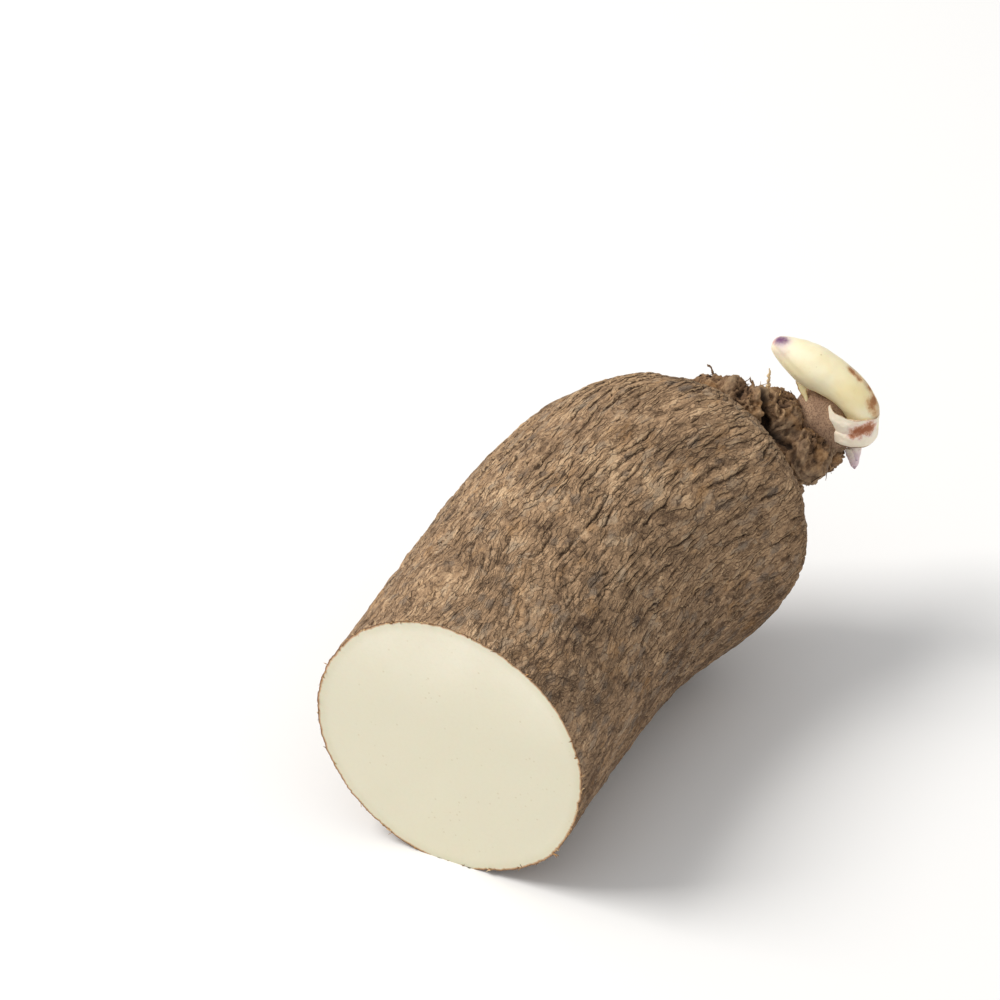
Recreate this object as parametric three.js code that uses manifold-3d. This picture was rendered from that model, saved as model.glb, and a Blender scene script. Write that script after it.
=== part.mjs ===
// The crown end of a yam tuber, cut across and lying on its side, with a fresh sprout.
// Millimetres, +Z up. The cut face looks along -Y, the crown is at +Y, and the origin is the
// middle of the flat strip that the tuber rests on.
import * as THREE from "three";
import { mergeVertices } from "three/addons/utils/BufferGeometryUtils.js";
import Module from "manifold-3d";

const wasm = await Module();
wasm.setup();

// Driving dimensions of the tuber
const cutRadius = 47.5;
const headSwell = 8.3; // how much the tuber's radius grows from the cut to the head
const swellPower = 2.4; // how late along the body it grows
const bodyLength = 145; // from the cut to where the head starts to round off
const shoulderLength = 18; // how much of the body already rounds off into the head
const headDepth = 14; // how far the rounded head reaches past the body
const headSquareness = 3.8; // 2 is an ellipse, more is a squarer shoulder
const restDepth = 1; // how far the underside is flattened where it rests
const bend = { linear: -4.25, square: -26.5, cube: 42 }; // sideways sweep of the centre line
const headDrift = { x: 9, z: 11 }; // how far the head's tip sits from its middle
const headTilt = 0.1; // how much further the head reaches on its -X side, per mm of width
const undulation = 0.5; // height of the long, shallow swellings round the body

// Small gap between two pieces that touch
const touchGap = 0.3;

// The crown is a clump of woody knuckles: middle and half sizes of each
const crownKnuckles = [
  { name: "corm", at: [31.5, 90.5, 68], half: [26, 14, 24] },
  { name: "left", at: [27.5, 91.5, 92], half: [17, 9, 9] },
  { name: "middle", at: [41.5, 99.5, 84], half: [11, 12, 11] },
  { name: "right", at: [55.5, 93.5, 76], half: [9, 12, 10] },
  { name: "seat", at: [54, 108.5, 71], half: [11.5, 11, 11] },
  { name: "low", at: [37.5, 94.5, 52], half: [14, 11, 14] },
];
const budSwelling = { at: [56, 112, 80.5], half: [12, 11.5, 13] };

// The sprout: its centre line from the base to the tip, and its half thickness
const shootLine = [
  [70, 112, 82],
  [69, 111.6, 89.6],
  [64, 111.4, 95.7],
  [56.6, 111.4, 100.4],
  [46.8, 111, 104.4],
  [35.2, 110, 108.4],
];
const shootHalf = 6.8;

// The torn white collar round the foot of the sprout
const collar = { at: [67, 110.4, 80.6], half: [8.9, 8.2, 6.2] };

// Pieces torn loose or just starting: centre line from root to tip, and half thickness at the root
const smallPieces = {
  side_bud: { half: 3.2, line: [[66.8, 111.2, 76], [67.4, 111.8, 70], [68.2, 112.4, 63.8]] },
  torn_scale: { half: 1.5, line: [[44.3, 111.6, 94], [47, 109.6, 92], [50.6, 107.8, 89.6]] },
  vine_stub: { half: 1.4, line: [[38.5, 101, 92], [38, 102, 97], [37.6, 103, 101.5]] },
  rootlet_1: { half: 0.8, line: [[34.5, 98, 90], [33, 99, 96], [31, 100.5, 101]] },
  rootlet_2: { half: 0.7, line: [[36, 97, 91], [34.5, 98, 96], [33.5, 98.5, 99.5]] },
  rootlet_3: { half: 0.9, line: [[20, 97, 96], [18, 98, 101], [15, 100, 103]] },
  rootlet_4: { half: 0.8, line: [[36, 102, 70], [34, 108, 71], [31, 113, 69]] },
  rootlet_5: { half: 0.9, line: [[30, 100, 58], [28, 106, 55], [25, 110, 50]] },
  rootlet_6: { half: 0.7, line: [[20, 99, 72], [17, 104, 74], [13, 107, 73]] },
};

// How finely each kind of piece is divided
const tuberRings = 26;
const tuberSides = 52;
const headRings = 9;
const knuckleSides = 20;
const knuckleRings = 12;
const shootRings = 18;
const shootSides = 16;
const rootletRings = 5;
const rootletSides = 7;

function solidOf(geometry) {
  const bare = geometry.index ? geometry.toNonIndexed() : geometry.clone();
  bare.deleteAttribute("normal");
  bare.deleteAttribute("uv");
  const merged = mergeVertices(bare, 1e-3);
  return new wasm.Manifold(
    new wasm.Mesh({
      numProp: 3,
      vertProperties: merged.attributes.position.array,
      triVerts: new Uint32Array(merged.index.array),
    }),
  );
}

function geometryOf(solid) {
  const mesh = solid.getMesh();
  const places = new Float32Array(mesh.numVert * 3);
  for (let i = 0; i < mesh.numVert; i++) {
    places.set(mesh.vertProperties.subarray(i * mesh.numProp, i * mesh.numProp + 3), i * 3);
  }
  const geometry = new THREE.BufferGeometry();
  geometry.setAttribute("position", new THREE.BufferAttribute(places, 3));
  geometry.setIndex(new THREE.BufferAttribute(mesh.triVerts, 1));
  geometry.computeVertexNormals();
  return geometry;
}

// Moves every vertex of a geometry by place(vertex), which returns the new position
function reshaped(geometry, place) {
  const positions = geometry.getAttribute("position");
  const vertex = new THREE.Vector3();
  for (let i = 0; i < positions.count; i++) {
    vertex.fromBufferAttribute(positions, i);
    const moved = place(vertex);
    positions.setXYZ(i, moved.x, moved.y, moved.z);
  }
  return geometry;
}

// Sideways place of the tuber's centre line at share s of the body, 0 at the cut and 1 at the head
function sweepAt(s) {
  const middle = bend.linear * 0.5 + bend.square * 0.25 + bend.cube * 0.125;
  return bend.linear * s + bend.square * s ** 2 + bend.cube * s ** 3 - middle;
}

function bodyRadius(s) {
  return cutRadius + headSwell * s ** swellPower;
}

// The tuber turned as a lathe profile, then swept sideways, swollen a little and flattened below
function tuberGeometry(grow = 0) {
  const headStart = bodyLength - shoulderLength;
  const headReach = shoulderLength + headDepth;
  const profile = [new THREE.Vector2(0, -grow)];
  for (let i = 0; i <= tuberRings; i++) {
    const along = (i / tuberRings) * headStart;
    profile.push(new THREE.Vector2(bodyRadius(along / bodyLength) + grow, i === 0 ? -grow : along));
  }
  for (let i = 1; i <= headRings; i++) {
    const turn = (i / headRings) * (Math.PI / 2);
    const along = headStart + (headReach + grow) * Math.sin(turn);
    const round = Math.cos(turn) ** (2 / headSquareness);
    const across = (bodyRadius(Math.min(along / bodyLength, 1)) + grow) * round;
    profile.push(new THREE.Vector2(i === headRings ? 0 : across, along));
  }
  const lathe = new THREE.LatheGeometry(profile, tuberSides);
  return reshaped(lathe, (v) => {
    const s = Math.min(v.y / bodyLength, 1);
    const past = Math.max(0, (v.y - headStart) / headReach);
    const angle = Math.atan2(v.x, -v.z);
    const swell = 1 + (undulation / cutRadius) * Math.sin(3 * angle + 5 * s) * Math.sin(Math.PI * s);
    const rest = bodyRadius(Math.max(s, 0)) - restDepth;
    const x = -v.z * swell + sweepAt(Math.max(s, 0)) + headDrift.x * past ** 2;
    const y = v.y - bodyLength / 2 - headTilt * x * past;
    const z = v.x * swell + rest + headDrift.z * past ** 2;
    return new THREE.Vector3(x, y, Math.max(-grow, z));
  });
}

function ellipsoid({ at, half }, grow = 0, roughness = 0) {
  const ball = new THREE.SphereGeometry(1, knuckleSides, knuckleRings);
  return solidOf(
    reshaped(ball, (v) => {
      const lump = 1 + roughness * Math.sin(5 * v.x + at[0]) * Math.sin(4 * v.y + at[1]) * Math.cos(5 * v.z);
      return new THREE.Vector3(
        at[0] + v.x * (half[0] * lump + grow),
        at[1] + v.y * (half[1] * lump + grow),
        at[2] + v.z * (half[2] * lump + grow),
      );
    }),
  );
}

// A tapering round body along a curve. halfAt(t) is its half thickness at share t of the length.
function taperedAlong(line, halfAt, rings, sides, grow = 0) {
  const curve = new THREE.CatmullRomCurve3(line.map((p) => new THREE.Vector3(...p)));
  const frames = curve.computeFrenetFrames(rings, false);
  const profile = [];
  for (let i = 0; i <= rings; i++) {
    profile.push(new THREE.Vector2(i === 0 || i === rings ? 0 : 1, i));
  }
  const lathe = new THREE.LatheGeometry(profile, sides);
  return solidOf(
    reshaped(lathe, (v) => {
      const ring = Math.round(v.y);
      const t = ring / rings;
      const half = halfAt(t) + grow;
      const tangent = frames.tangents[ring].clone();
      const end = ring === 0 ? -grow : ring === rings ? grow : 0;
      return curve
        .getPointAt(t)
        .addScaledVector(frames.normals[ring], v.x * half)
        .addScaledVector(frames.binormals[ring], -v.z * half)
        .addScaledVector(tangent, end);
    }),
  );
}

// The sprout is thickest past its middle, narrower at the foot and blunt at the tip
function shootHalfAt(t) {
  const foot = 0.8 + 0.2 * Math.sin(Math.min(t / 0.55, 1) * (Math.PI / 2));
  const tip = t < 0.55 ? 1 : Math.sqrt(Math.max(0, 1 - ((t - 0.55) / 0.45) ** 2.4));
  return shootHalf * foot * tip;
}

function rootletHalfAt(half) {
  return (t) => half * (1 - 0.7 * t);
}

function crownSolid(grow = 0) {
  return crownKnuckles
    .map((knuckle) => ellipsoid(knuckle, grow, 0.08))
    .reduce((joined, next) => joined.add(next));
}

function shootSolid(grow = 0) {
  return taperedAlong(shootLine, shootHalfAt, shootRings, shootSides, grow);
}

function smallPiece({ line, half }) {
  return taperedAlong(line, rootletHalfAt(half), rootletRings, rootletSides);
}

// The largest body of a solid, so that a cut leaves no loose crumbs
function largest(solid) {
  return solid
    .decompose()
    .reduce((best, next) => (next.volume() > best.volume() ? next : best));
}

const finishes = {
  bark: new THREE.MeshStandardMaterial({ color: 0x8a7056, roughness: 0.9, metalness: 0 }),
  crownWood: new THREE.MeshStandardMaterial({ color: 0x6e553d, roughness: 0.95, metalness: 0 }),
  sheath: new THREE.MeshStandardMaterial({ color: 0x84695a, roughness: 0.8, metalness: 0 }),
  shoot: new THREE.MeshStandardMaterial({ color: 0xf0e6b8, roughness: 0.4, metalness: 0 }),
  tornTissue: new THREE.MeshStandardMaterial({ color: 0xeae0cc, roughness: 0.5, metalness: 0 }),
  dryRoot: new THREE.MeshStandardMaterial({ color: 0xa58a62, roughness: 0.9, metalness: 0 }),
};

const yam = new THREE.Group();

function addPiece(name, solid, finish) {
  const piece = new THREE.Mesh(geometryOf(largest(solid)), finish);
  piece.name = name;
  yam.add(piece);
}

const tuberGrown = solidOf(tuberGeometry(touchGap));
const crownGrown = crownSolid(touchGap);
const budGrown = ellipsoid(budSwelling, touchGap);
const shootGrown = shootSolid(touchGap);
const collarGrown = ellipsoid(collar, touchGap);

addPiece("tuber", solidOf(tuberGeometry()), finishes.bark);
addPiece("crown", crownSolid().subtract(tuberGrown), finishes.crownWood);
addPiece("bud_swelling", ellipsoid(budSwelling).subtract(crownGrown), finishes.sheath);
addPiece("shoot", shootSolid().subtract(budGrown).subtract(crownGrown), finishes.shoot);
addPiece(
  "shoot_collar",
  ellipsoid(collar).subtract(shootGrown).subtract(budGrown).subtract(crownGrown),
  finishes.tornTissue,
);

const smallFinishes = { side_bud: finishes.tornTissue, torn_scale: finishes.shoot };
const around = crownGrown.add(budGrown).add(shootGrown).add(collarGrown).add(tuberGrown);
for (const [name, piece] of Object.entries(smallPieces)) {
  addPiece(name, smallPiece(piece).subtract(around), smallFinishes[name] ?? finishes.dryRoot);
}

export default yam;
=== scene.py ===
import math
import bpy
import numpy as np
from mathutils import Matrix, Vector


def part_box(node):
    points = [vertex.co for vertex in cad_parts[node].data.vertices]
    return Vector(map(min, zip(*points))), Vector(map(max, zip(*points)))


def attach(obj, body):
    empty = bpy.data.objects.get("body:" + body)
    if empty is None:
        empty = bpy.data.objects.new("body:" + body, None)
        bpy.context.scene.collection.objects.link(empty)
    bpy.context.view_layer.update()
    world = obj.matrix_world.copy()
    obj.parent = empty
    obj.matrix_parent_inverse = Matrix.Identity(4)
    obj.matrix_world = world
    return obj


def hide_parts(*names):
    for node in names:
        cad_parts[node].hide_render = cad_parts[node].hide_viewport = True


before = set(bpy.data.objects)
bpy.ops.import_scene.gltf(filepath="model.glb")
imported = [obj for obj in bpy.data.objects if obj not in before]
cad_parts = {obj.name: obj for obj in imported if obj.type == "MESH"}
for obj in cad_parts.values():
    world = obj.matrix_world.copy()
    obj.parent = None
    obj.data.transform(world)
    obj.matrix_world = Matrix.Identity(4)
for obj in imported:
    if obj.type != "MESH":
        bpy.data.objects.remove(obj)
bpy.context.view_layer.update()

# Lengths are in millimetres until a mesh is filled; Blender's are in metres
millimetre = 0.001

# Large odd numbers that scatter whole-number points, and how far apart two seeds read the noise
axisFactors = np.array([374761393, 668265263, 2246822519], np.uint32)
seedFactor = 3266489917
mixFactor = np.uint32(1274126177)
wrapAt = 2**32
seedShift = 17.31


def latticeValue(cell, seed):
    # from 0 to 1 for each whole-number point: its coordinates times the factors, mixed and cut to 32 bits
    c = cell.astype(np.int64).astype(np.uint32) * axisFactors
    h = c[..., 0] + c[..., 1] + c[..., 2] + np.uint32(seed * seedFactor % wrapAt)
    h = (h ^ (h >> np.uint32(13))) * mixFactor
    return (h ^ (h >> np.uint32(16))) / (wrapAt - 1.0)


def softNoise(points, size, seed):
    # from -1 to 1: numbers at the corners of cells of that size, joined by the curve 6t^5 - 15t^4 + 10t^3
    q = points / np.asarray(size, float) + seed * seedShift
    low = np.floor(q)
    t = q - low
    t = t * t * t * (t * (t * 6 - 15) + 10)
    total = np.zeros(q.shape[:-1])
    for corner in np.ndindex(2, 2, 2):
        weight = np.prod(np.where(np.array(corner) == 1, t, 1 - t), axis=-1)
        total += weight * latticeValue(low + corner, seed)
    return total * 2 - 1


def layeredNoise(points, size, seed, layers=3, fade=0.5):
    # soft noise added to itself, each time half the size and less strong
    size = np.asarray(size, float)
    return sum(softNoise(points, size / 2**k, seed + k) * fade**k for k in range(layers))


def cellNoise(points, size, seed):
    # cells round scattered seats: distance to the nearest seat, gap to the second, the nearest one's number
    q = points / np.asarray(size, float)
    low = np.floor(q)
    first = np.full(q.shape[:-1], 9.0)
    second, name = first, 0 * first
    for step in np.ndindex(3, 3, 3):
        cell = low + (np.array(step) - 1)
        seat = cell + np.stack([latticeValue(cell, seed + k) for k in range(3)], -1)
        away = np.linalg.norm(seat - q, axis=-1)
        nearer = away < first
        second = np.where(nearer, first, np.minimum(second, away))
        name = np.where(nearer, latticeValue(cell, seed + 7), name)
        first = np.minimum(first, away)
    return first, second - first, name


def eased(value, low, high):
    # 0 at low and 1 at high, whichever is the greater, and 3t^2 - 2t^3 between them
    t = np.clip((value - low) / (high - low), 0, 1)
    return t * t * (3 - 2 * t)


def unit(vectors):
    # each vector divided by its own length
    return vectors / np.maximum(np.linalg.norm(vectors, axis=-1, keepdims=True), 1e-9)


def nearness(points, middle, radius):
    # 1 at the middle, falling to 0 at the radius
    return eased(np.linalg.norm(points - np.asarray(middle, float), axis=-1) / radius, 1, 0)


def evenAngles(count):
    # that many angles, evenly spaced round one turn
    return np.arange(count) * 2 * math.pi / count


def closedFaces(rows, columns):
    # corner numbers: four-cornered faces between neighbouring rows that close round, then three-cornered ones
    # from the first and the last row to their poles; they face out where rows go by the right hand
    r, c = np.meshgrid(np.arange(rows - 1) * columns, np.arange(columns), indexing="ij")
    n = (c + 1) % columns
    sides = np.stack([r + c, r + columns + c, r + columns + n, r + n], -1).reshape(-1, 4)
    c, n = c[0], n[0]
    last = (rows - 1) * columns
    start = np.stack([np.full(columns, last + columns), c, n], -1)
    end = np.stack([np.full(columns, last + columns + 1), last + n, last + c], -1)
    return sides, start, end


def fillMesh(name, points, faces, flat=None):
    # points in millimetres, faces as arrays of corner numbers, all set as whole arrays
    mesh = bpy.data.meshes.new(name)
    corners = np.concatenate([f.ravel() for f in faces]).astype(np.int32)
    sizes = np.concatenate([np.full(len(f), f.shape[1]) for f in faces])
    mesh.vertices.add(len(points))
    mesh.vertices.foreach_set("co", (points * millimetre).astype(np.float32).ravel())
    mesh.loops.add(len(corners))
    mesh.loops.foreach_set("vertex_index", corners)
    mesh.polygons.add(len(sizes))
    mesh.polygons.foreach_set("loop_start", (np.cumsum(sizes) - sizes).astype(np.int32))
    smooth = np.ones(len(sizes), bool) if flat is None else ~flat
    mesh.polygons.foreach_set("use_smooth", smooth)
    mesh.update(calc_edges=True)
    return mesh


def closedGrids(name, grids, flat=None):
    # closed surfaces from arrays of rows of points, each with a pole in the middle of its first and last row
    points, faces, first = [], [], 0
    for rows in grids:
        count, columns = rows.shape[:2]
        points += [rows.reshape(-1, 3), [rows[0].mean(0), rows[-1].mean(0)]]
        faces += [part + first for part in closedFaces(count, columns)]
        first += count * columns + 2
    return fillMesh(name, np.concatenate(points), faces, flat)


def rowNormals(rows):
    # the way a grid of rows faces: the difference along the rows' path crossed with the one round them
    along = np.gradient(rows, axis=0)
    around = np.roll(rows, -1, axis=1) - np.roll(rows, 1, axis=1)
    return unit(np.cross(along, around))


def raised(rows, height):
    # each point moved by its height the way the rows face
    return rows + rowNormals(rows) * height[..., None]


def keepNumbers(mesh, name, values, poles=()):
    # one number for each point of a grid, then one for each pole
    numbers = np.append(values, poles).astype(np.float32)
    mesh.attributes.new(name, "FLOAT", "POINT").data.foreach_set("value", numbers)


def keepPlaces(mesh, name, places):
    # one place for each point
    places = places.astype(np.float32).ravel()
    mesh.attributes.new(name, "FLOAT_VECTOR", "POINT").data.foreach_set("vector", places)


def addPiece(name, mesh, slot, nodes, *finishes):
    # an object that rides on the body, stands for its CAD nodes and takes the finishes it is given; the slot
    # is not used
    piece = bpy.data.objects.new(name, mesh)
    bpy.context.scene.collection.objects.link(piece)
    for finish in finishes:
        mesh.materials.append(finish)
    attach(piece, "root")
    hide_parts(*nodes)
    print(name, len(mesh.polygons), "faces")
    return piece


def smoothPath(line, count):
    # a curve through the line's points, evenly spaced: each stretch is a third-power curve whose slope at a
    # point is half the step between that point's neighbours
    p = np.asarray(line, float)
    p = np.concatenate([[2 * p[0] - p[1]], p, [2 * p[-1] - p[-2]]])
    u = np.linspace(0, len(p) - 3, 40 * (len(p) - 3) + 1)
    k = np.minimum(u.astype(int), len(p) - 4)
    t = (u - k)[:, None]
    a, b, c, d = (p[k + shift] for shift in range(4))
    fine = 0.5 * (2 * b + (c - a) * t + (2 * a - 5 * b + 4 * c - d) * t**2 + (3 * b - a - 3 * c + d) * t**3)
    run = np.concatenate([[0], np.cumsum(np.linalg.norm(np.diff(fine, axis=0), axis=1))])
    at = np.linspace(0, run[-1], count)
    return np.stack([np.interp(at, run, fine[:, axis]) for axis in range(3)], -1)


def sweptRows(path, side, halfAcross, halfDeep, angles):
    # an oval carried along a path: path + side cos(a) across - up sin(a) deep, side kept square to the path
    heading = unit(np.gradient(path, axis=-2))
    side = unit(side - heading * np.sum(side * heading, -1, keepdims=True))
    up = np.cross(heading, side)
    cos, sin = np.cos(angles)[:, None], np.sin(angles)[:, None]
    return (path[..., None, :] + side[..., None, :] * cos * halfAcross[..., None, None]
            - up[..., None, :] * sin * halfDeep[..., None, None])


def bentPaths(root, heading, size, bend, steps):
    # a path from each root: heading times size times the share run, plus bend times the share squared
    t = np.linspace(0, 1, steps)[:, None]
    return root[:, None] + heading[:, None] * t * size[:, None, None] + bend[:, None] * t**2


def manyStrips(name, paths, side, halfAcross, halfDeep, tone, lowest=-math.inf, sides=6):
    # thin closed strips as one mesh: a swept oval for each path, a pole at each end, and one tone each
    count, steps = paths.shape[:2]
    rows = sweptRows(paths, side, halfAcross, halfDeep, evenAngles(sides))
    poles = np.stack([paths[:, 0], paths[:, -1]], 1)
    points = np.maximum(np.concatenate([rows.reshape(count, -1, 3), poles], 1), lowest)
    each = steps * sides + 2
    first = (np.arange(count) * each)[:, None, None]
    faces = [(part + first).reshape(-1, part.shape[1]) for part in closedFaces(steps, sides)]
    mesh = fillMesh(name, points.reshape(-1, 3), faces)
    keepNumbers(mesh, "tone", np.repeat(tone, each))
    return mesh


class Wire:
    # one output of a node; sums and products with numbers or other wires add Math nodes
    def __init__(self, finish, socket):
        self.finish = finish
        self.socket = socket

    def maths(self, operation, *values):
        return self.finish.node("ShaderNodeMath", {"operation": operation}, dict(enumerate(values)))

    def __add__(self, other):
        return self.maths("ADD", self, other)

    def __radd__(self, other):
        return self.maths("ADD", other, self)

    def __sub__(self, other):
        return self.maths("SUBTRACT", self, other)

    def __rsub__(self, other):
        return self.maths("SUBTRACT", other, self)

    def __mul__(self, other):
        return self.maths("MULTIPLY", self, other)

    def __rmul__(self, other):
        return self.maths("MULTIPLY", other, self)

    def __truediv__(self, other):
        return self.maths("DIVIDE", self, other)

    def fraction(self):
        return self.maths("FRACT", self)

    def least(self, other):
        return self.maths("MINIMUM", self, other)

    def most(self, other):
        return self.maths("MAXIMUM", self, other)

    def fromLine(self):
        # of a share run between two lines, how far the nearer line is
        return self.least(1 - self)

    def plate(self, steep):
        # of a share run between two lines, up to 1 over the steep share, then down to 0 over the rest
        return (self / steep).least((1 - self) / (1 - steep))

    def eased(self, low, high):
        # 0 at low and 1 at high, whichever is the greater
        return self.finish.node("ShaderNodeMapRange", {"interpolation_type": "SMOOTHSTEP"},
                                {"Value": self, "From Min": low, "From Max": high})

    def part(self, axis):
        return self.finish.node("ShaderNodeSeparateXYZ", {}, {0: self}, axis)


def colour(red, green, blue):
    # a screen colour, each part from 0 to 255, as the light values that Blender uses
    parts = [(v / 255 / 12.92) if v <= 10 else ((v / 255 + 0.055) / 1.055) ** 2.4 for v in (red, green, blue)]
    return (*parts, 1.0)


class Finish:
    # a material with one Principled shader
    def __init__(self, name, **constants):
        self.material = bpy.data.materials.new(name)
        self.material.use_nodes = True
        self.tree = self.material.node_tree
        self.shader = self.tree.nodes["Principled BSDF"]
        for socket, value in constants.items():
            self.shader.inputs[socket.replace("_", " ")].default_value = value

    def node(self, kind, settings, inputs, output=0):
        # a new node: its settings first, then the value or the link of each socket
        made = self.tree.nodes.new(kind)
        for setting, value in settings.items():
            if setting == "stops":
                self.setStops(made.color_ramp, value)
            else:
                setattr(made, setting, value)
        for socket, value in inputs.items():
            if isinstance(value, Wire):
                self.tree.links.new(value.socket, made.inputs[socket])
            else:
                made.inputs[socket].default_value = value
        return Wire(self, made.outputs[output])

    def setStops(self, ramp, stops):
        while len(ramp.elements) < len(stops):
            ramp.elements.new(0.5)
        for element, (place, shade) in zip(ramp.elements, stops):
            element.position = place
            element.color = colour(*shade)

    def attribute(self, name, output="Fac"):
        return self.node("ShaderNodeAttribute", {"attribute_name": name}, {}, output)

    def objectPlace(self):
        return self.node("ShaderNodeTexCoord", {}, {}, "Object")

    def scaled(self, vector, scale):
        return self.node("ShaderNodeVectorMath", {"operation": "MULTIPLY"}, {0: vector, 1: scale})

    def noise(self, vector, scale, detail=2.0, roughness=0.5, output="Fac"):
        return self.node("ShaderNodeTexNoise", {},
                         {"Vector": vector, "Scale": scale, "Detail": detail, "Roughness": roughness}, output)

    def cells(self, vector, scale, feature="F1", output="Distance"):
        inputs = {"Vector": vector, "Scale": scale}
        return self.node("ShaderNodeTexVoronoi", {"feature": feature}, inputs, output)

    def ramp(self, amount, stops):
        # a colour for each amount, between stops of a place and a screen colour
        return self.node("ShaderNodeValToRGB", {"stops": stops}, {"Fac": amount})

    def blend(self, amount, first, second):
        # two colours mixed, each a wire or a screen colour; Mix has a socket for each kind of value, and its
        # colour ones are taken by number
        first, second = (shade if isinstance(shade, Wire) else colour(*shade) for shade in (first, second))
        return self.node("ShaderNodeMix", {"data_type": "RGBA"}, {0: amount, 6: first, 7: second}, 2)

    def layered(self, skin, *layers):
        # each layer's colour laid over what is under it, as far as its amount says
        for amount, shade in layers:
            skin = self.blend(amount, skin, shade)
        return skin

    def bump(self, height, strength, distance):
        return self.node("ShaderNodeBump", {}, {"Strength": strength, "Distance": distance, "Height": height})

    def feed(self, **wires):
        for socket, wire in wires.items():
            self.tree.links.new(wire.socket, self.shader.inputs[socket.replace("_", " ")])
        return self.material


# The cut tuber: bark all round, flesh on the cut
tuber = {
    "cutRadius": 47.5,
    "headSwell": 8.3,
    "swellPower": 2.4,
    "length": 145,
    "shoulder": 18,
    "headDepth": 14,
    "squareness": 3.8,
    "restDepth": 1,
    "bend": (-4.25, -26.5, 42),
    "headDrift": (9, 11),
    "headTilt": 0.1,
    "undulation": 0.5,
    "columns": 548,
    "ringGap": 1.2,
    "cutRings": (46, 40, 30, 20, 12, 7, 4.2, 2.8, 1.8, 1.1, 0.6, 0.25),
    "cutDip": 0.1,
    "steepShare": 0.16,
    "plateMiddle": 0.42,
    "lumpHeights": (0.7, 0.34, 0.16),
    "pebbleSize": (3.3, 6.5, 3.3),
    "pebbleDepth": 0.3,
}

# Two kinds of crack. bends: how many lines a crack strays, and over what lengths. run: how long it stays open
# or shut. open: the noise where it starts to open and where it is wide. steep: the line counts for each
# millimetre where it starts to show and where it shows fully
cracks = {
    "wide": {
        "count": 84,
        "bends": [(1.5, (17, 36, 17)), (0.5, (7, 12, 7)), (0.2, (2.3, 3.2, 2.3))],
        "bendSeed": 1,
        "run": 8.5,
        "open": (-0.1, 0.35),
        "openSeed": 7,
        "steep": (0.07, 0.17),
        "lift": 0.55,
        "depth": 0.6,
        "width": 0.085,
    },
    "narrow": {
        "count": 122,
        "bends": [(1.8, (15, 30, 15)), (0.6, (5.5, 8, 5.5)), (0.25, (1.8, 2.6, 1.8))],
        "bendSeed": 4,
        "run": 5.5,
        "open": (-0.1, 0.36),
        "openSeed": 17,
        "steep": (0.1, 0.24),
        "lift": 0.2475,
        "depth": 0.4,
        "width": 0.12,
    },
}


def bodyRadius(share):
    # the cut's radius, plus the head's swell times the share of the length to a power
    return tuber["cutRadius"] + tuber["headSwell"] * share ** tuber["swellPower"]


def tuberProfile():
    # rings along the body, then rings evenly spaced over the rounded head: place along, radius and length run
    reach = tuber["shoulder"] + tuber["headDepth"]
    headStart = tuber["length"] - tuber["shoulder"]
    body = np.concatenate([[0, 0.25], np.arange(tuber["ringGap"], headStart - 0.4, tuber["ringGap"])])
    turn = np.linspace(0, math.pi / 2, 4000)
    along = headStart + reach * np.sin(turn)
    across = bodyRadius(np.minimum(along / tuber["length"], 1)) * np.cos(turn) ** (2 / tuber["squareness"])
    run = np.concatenate([[0], np.cumsum(np.hypot(np.diff(along), np.diff(across)))])
    at = np.arange(0, run[-1] - 0.9, tuber["ringGap"])
    return (np.concatenate([body, np.interp(at, run, along)]),
            np.concatenate([bodyRadius(body / tuber["length"]), np.interp(at, run, across)]),
            np.concatenate([body, headStart + at]))


def tuberSurface(along, across, angle):
    # circles of that radius with a three-sided wave, their middles on a third-power curve, the head leaning
    # aside and up by the square of the share run over it
    share = np.minimum(along / tuber["length"], 1)
    headStart = tuber["length"] - tuber["shoulder"]
    past = np.maximum(0, (along - headStart) / (tuber["shoulder"] + tuber["headDepth"]))
    wave = tuber["undulation"] / tuber["cutRadius"]
    swell = 1 + wave * np.sin(3 * angle + 5 * share) * np.sin(math.pi * share)
    a, b, c = tuber["bend"]
    sweep = a * share + b * share**2 + c * share**3 - (a / 2 + b / 4 + c / 8)
    x = across * np.cos(angle) * swell + sweep + tuber["headDrift"][0] * past**2
    y = along - tuber["length"] / 2 - tuber["headTilt"] * x * past
    z = across * np.sin(angle) * swell + bodyRadius(share) - tuber["restDepth"]
    z = z + tuber["headDrift"][1] * past**2
    return np.stack([x, y, z], -1)


def openShare(lines, place, kind):
    # each crack has its own noise along it, so that neighbours open and close apart; one crack's noise gives
    # way to the next one's where plates are level
    line = np.floor(lines + tuber["plateMiddle"])
    seed = kind["openSeed"]
    way = np.stack([line * 3.17, place[..., 1] / kind["run"], 0 * line + seed], -1)
    reach = softNoise(way, 1.0, seed) + 0.5 * softNoise(way * np.array([1, 2.3, 1]), 1.0, seed + 1)
    return eased(reach + 0.35 * softNoise(place, 22, seed + 2), *kind["open"])


def isSteep(lines, low, high):
    # how fast the line count changes for each millimetre: where it hardly does, a line would be a blot
    columnGap = 2 * math.pi * tuber["cutRadius"] / tuber["columns"]
    slope = np.hypot(np.gradient(lines, axis=1) / columnGap, np.gradient(lines, axis=0) / tuber["ringGap"])
    return eased(slope, low, high)


def crackField(kind, place, angle, offPole):
    # the count times the share of a turn, bent by noise: a crack runs where it is a whole number. How open it
    # is comes with it: less towards the cut and the pole
    seeds = range(kind["bendSeed"], kind["bendSeed"] + len(kind["bends"]))
    bent = sum(much * softNoise(place, size, seed) for seed, (much, size) in zip(seeds, kind["bends"]))
    lines = kind["count"] * (angle / (2 * math.pi)) + bent
    finer = 0.5 + 0.5 * eased(place[..., 1], 15, 75)
    return lines, openShare(lines, place, kind) * offPole * finer * isSteep(lines, *kind["steep"])


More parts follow.
